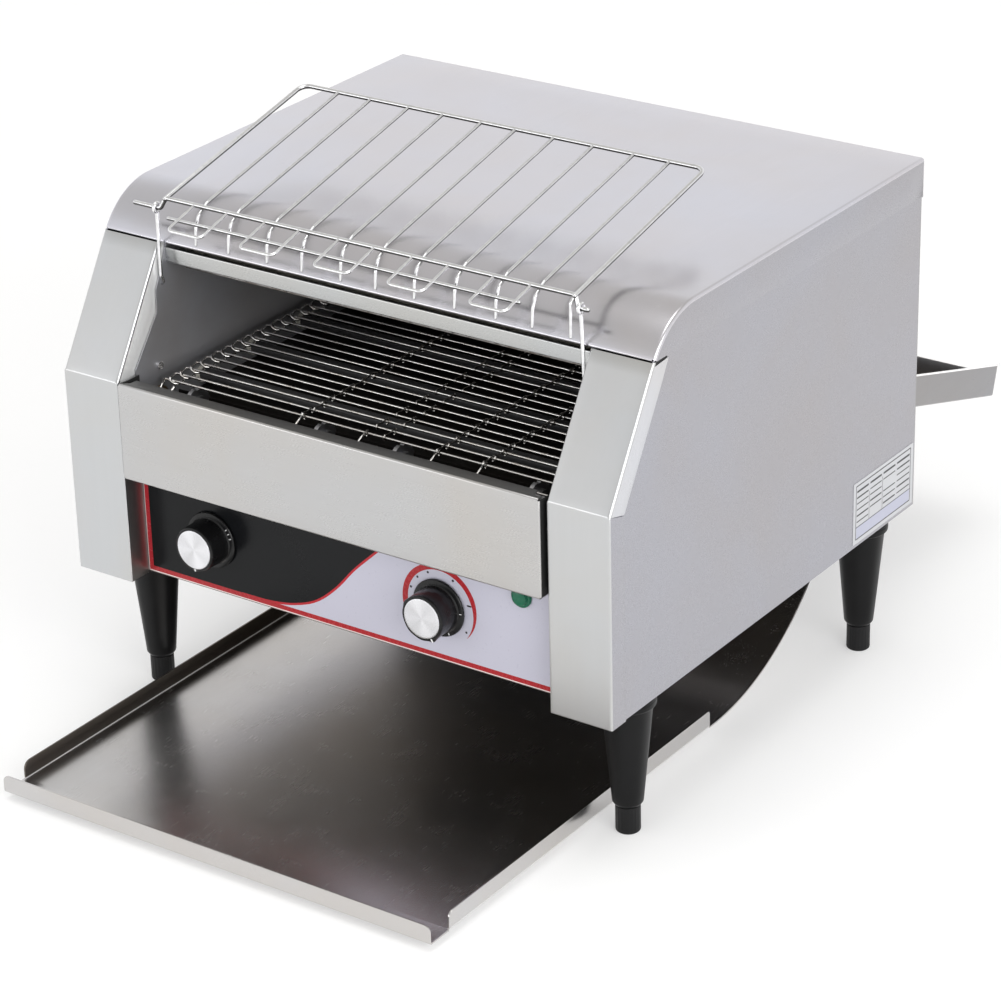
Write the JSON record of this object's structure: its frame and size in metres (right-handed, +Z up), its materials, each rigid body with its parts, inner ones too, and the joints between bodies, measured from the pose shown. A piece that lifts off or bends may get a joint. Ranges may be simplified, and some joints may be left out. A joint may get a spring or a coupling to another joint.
{
  "type": "conveyor toaster",
  "caption": "Counter-top conveyor toaster: steel body on tall legs, wire belt in a front loading opening, wire loading rack on top, slide-out toast tray below and discharge chute behind.",
  "frame": {"origin": "centre of the overall box at the level the feet stand on", "axes": "+X to the right seen from the front, +Y to the back, +Z up"},
  "size_m": [0.468, 0.7942, 0.4317],
  "materials": {
    "satin_steel": "satin stainless",
    "column_steel": "satin stainless",
    "dull_steel": "dull mill finish",
    "cavity_steel": "heat-toned",
    "tray_steel": "bright satin",
    "chrome_wire": "polished",
    "belt_wire": "heat-toned wire",
    "element_sheath": "oxidised",
    "quartz": "frosted",
    "ceramic_white": "matt",
    "board": "fibrous board",
    "bronze": "sintered",
    "chain_steel": "oiled",
    "motor_grey": "satin",
    "black_plastic": "moulded",
    "leg_plastic": "moulded",
    "knob_black": "gloss with metal cap",
    "overlay_print": "printed film",
    "green_lens": "translucent",
    "switch_grey": "moulded",
    "terminal_white": "moulded",
    "zinc": "zinc plated",
    "bumper_rubber": "matt",
    "plate_foil": "satin"
  },
  "bodies": {
    "body": {"side_panel_left": "satin_steel", "side_panel_right": "satin_steel", "column_cover_left": "column_steel", "column_cover_right": "column_steel", "hood": "satin_steel", "front_plate": "column_steel", "control_panel": "dull_steel", "panel_overlay": "overlay_print", "header_panel": "column_steel", "rear_panel": "dull_steel", "bottom_plate": "dull_steel", "cavity_wall_left": "cavity_steel", "cavity_wall_right": "cavity_steel", "wall_screws": "zinc", "insulation_board": "board", "upper_reflector": "cavity_steel", "lower_reflector": "cavity_steel", "upper_elements": "element_sheath", "lower_elements": "quartz", "element_holders": "ceramic_white", "element_guard": "belt_wire", "crumb_deck": "dull_steel", "return_ramp": "tray_steel", "conveyor_belt": "belt_wire", "shaft_bushes": "bronze", "drive_chain": "chain_steel", "gear_motor": "motor_grey", "motor_bracket": "dull_steel", "fan_frame": "black_plastic", "mode_switch": "switch_grey", "speed_control": "switch_grey", "indicator_lens": "green_lens", "indicator_body": "black_plastic", "terminal_block": "terminal_white", "cable_gland": "black_plastic", "rating_plate": "plate_foil", "leg_front_left": "leg_plastic", "leg_front_right": "leg_plastic", "leg_rear_left": "leg_plastic", "leg_rear_right": "leg_plastic", "leg_studs": "zinc"},
    "conveyor_drive": {"drive_shaft": "dull_steel", "drive_sprocket": "chain_steel"},
    "conveyor_idler": {"idler_shaft": "dull_steel"},
    "motor_output": {"motor_sprocket": "chain_steel"},
    "fan_blades": {"fan_rotor": "black_plastic"},
    "mode_control": {"mode_knob": "knob_black", "mode_spindle": "zinc"},
    "speed_dial": {"speed_knob": "knob_black", "speed_spindle": "zinc"},
    "foot_fl": {"foot_front_left": "leg_plastic"},
    "foot_fr": {"foot_front_right": "leg_plastic"},
    "foot_rl": {"foot_rear_left": "leg_plastic"},
    "foot_rr": {"foot_rear_right": "leg_plastic"},
    "rack_links": {"rack_link_left": "chrome_wire", "rack_link_right": "chrome_wire"},
    "rack": {"wire_rack": "chrome_wire"},
    "tray": {"toast_tray": "tray_steel", "tray_bumpers": "bumper_rubber"},
    "chute": {"rear_chute": "dull_steel"}
  },
  "joints": [
    {"name": "drive_spin", "type": "hinge", "parent": "body", "child": "conveyor_drive", "pos_m": [0, 0.07641, 0.2435], "axis": [1, 0, 0], "continuous": true},
    {"name": "idler_spin", "type": "hinge", "parent": "body", "child": "conveyor_idler", "pos_m": [0, -0.20633, 0.2435], "axis": [1, 0, 0], "continuous": true},
    {"name": "motor_spin", "type": "hinge", "parent": "body", "child": "motor_output", "pos_m": [0.22, 0.00597, 0.1705], "axis": [1, 0, 0], "continuous": true},
    {"name": "fan_spin", "type": "hinge", "parent": "body", "child": "fan_blades", "pos_m": [0, -0.09903, 0.1225], "axis": [0, 0, 1], "continuous": true},
    {"name": "mode_knob_turn", "type": "hinge", "parent": "body", "child": "mode_control", "pos_m": [-0.1214, -0.23903, 0.1535], "axis": [0, 1, 0], "range_deg": [0, 270]},
    {"name": "speed_knob_turn", "type": "hinge", "parent": "body", "child": "speed_dial", "pos_m": [0.0797, -0.23903, 0.1535], "axis": [0, 1, 0], "range_deg": [0, 300]},
    {"name": "foot_fl_screw", "type": "hinge", "parent": "body", "child": "foot_fl", "pos_m": [-0.2096, -0.19343, 0.0105], "axis": [0, 0, 1], "continuous": true},
    {"name": "foot_fr_screw", "type": "hinge", "parent": "body", "child": "foot_fr", "pos_m": [0.2096, -0.19343, 0.0105], "axis": [0, 0, 1], "continuous": true},
    {"name": "foot_rl_screw", "type": "hinge", "parent": "body", "child": "foot_rl", "pos_m": [-0.2096, 0.12887, 0.0105], "axis": [0, 0, 1], "continuous": true},
    {"name": "foot_rr_screw", "type": "hinge", "parent": "body", "child": "foot_rr", "pos_m": [0.2096, 0.12887, 0.0105], "axis": [0, 0, 1], "continuous": true},
    {"name": "rack_link_tilt", "type": "hinge", "parent": "body", "child": "rack_links", "pos_m": [0, -0.19443, 0.327], "axis": [1, 0, 0], "range_deg": [0, 50]},
    {"name": "rack_tilt", "type": "hinge", "parent": "rack_links", "child": "rack", "pos_m": [0, -0.19703, 0.3855], "axis": [1, 0, 0], "range_deg": [-13.5, 20]},
    {"name": "tray_slide", "type": "slide", "parent": "body", "child": "tray", "axis": [0, -1, 0], "range_m": [0, 0.3]},
    {"name": "chute_lift", "type": "slide", "parent": "body", "child": "chute", "axis": [0, 0, 1], "range_m": [0, 0.02]}
  ],
  "couplings": [
    {"joint": "idler_spin", "follows": "drive_spin", "ratio": 1},
    {"joint": "motor_spin", "follows": "drive_spin", "ratio": 1.5}
  ]
}
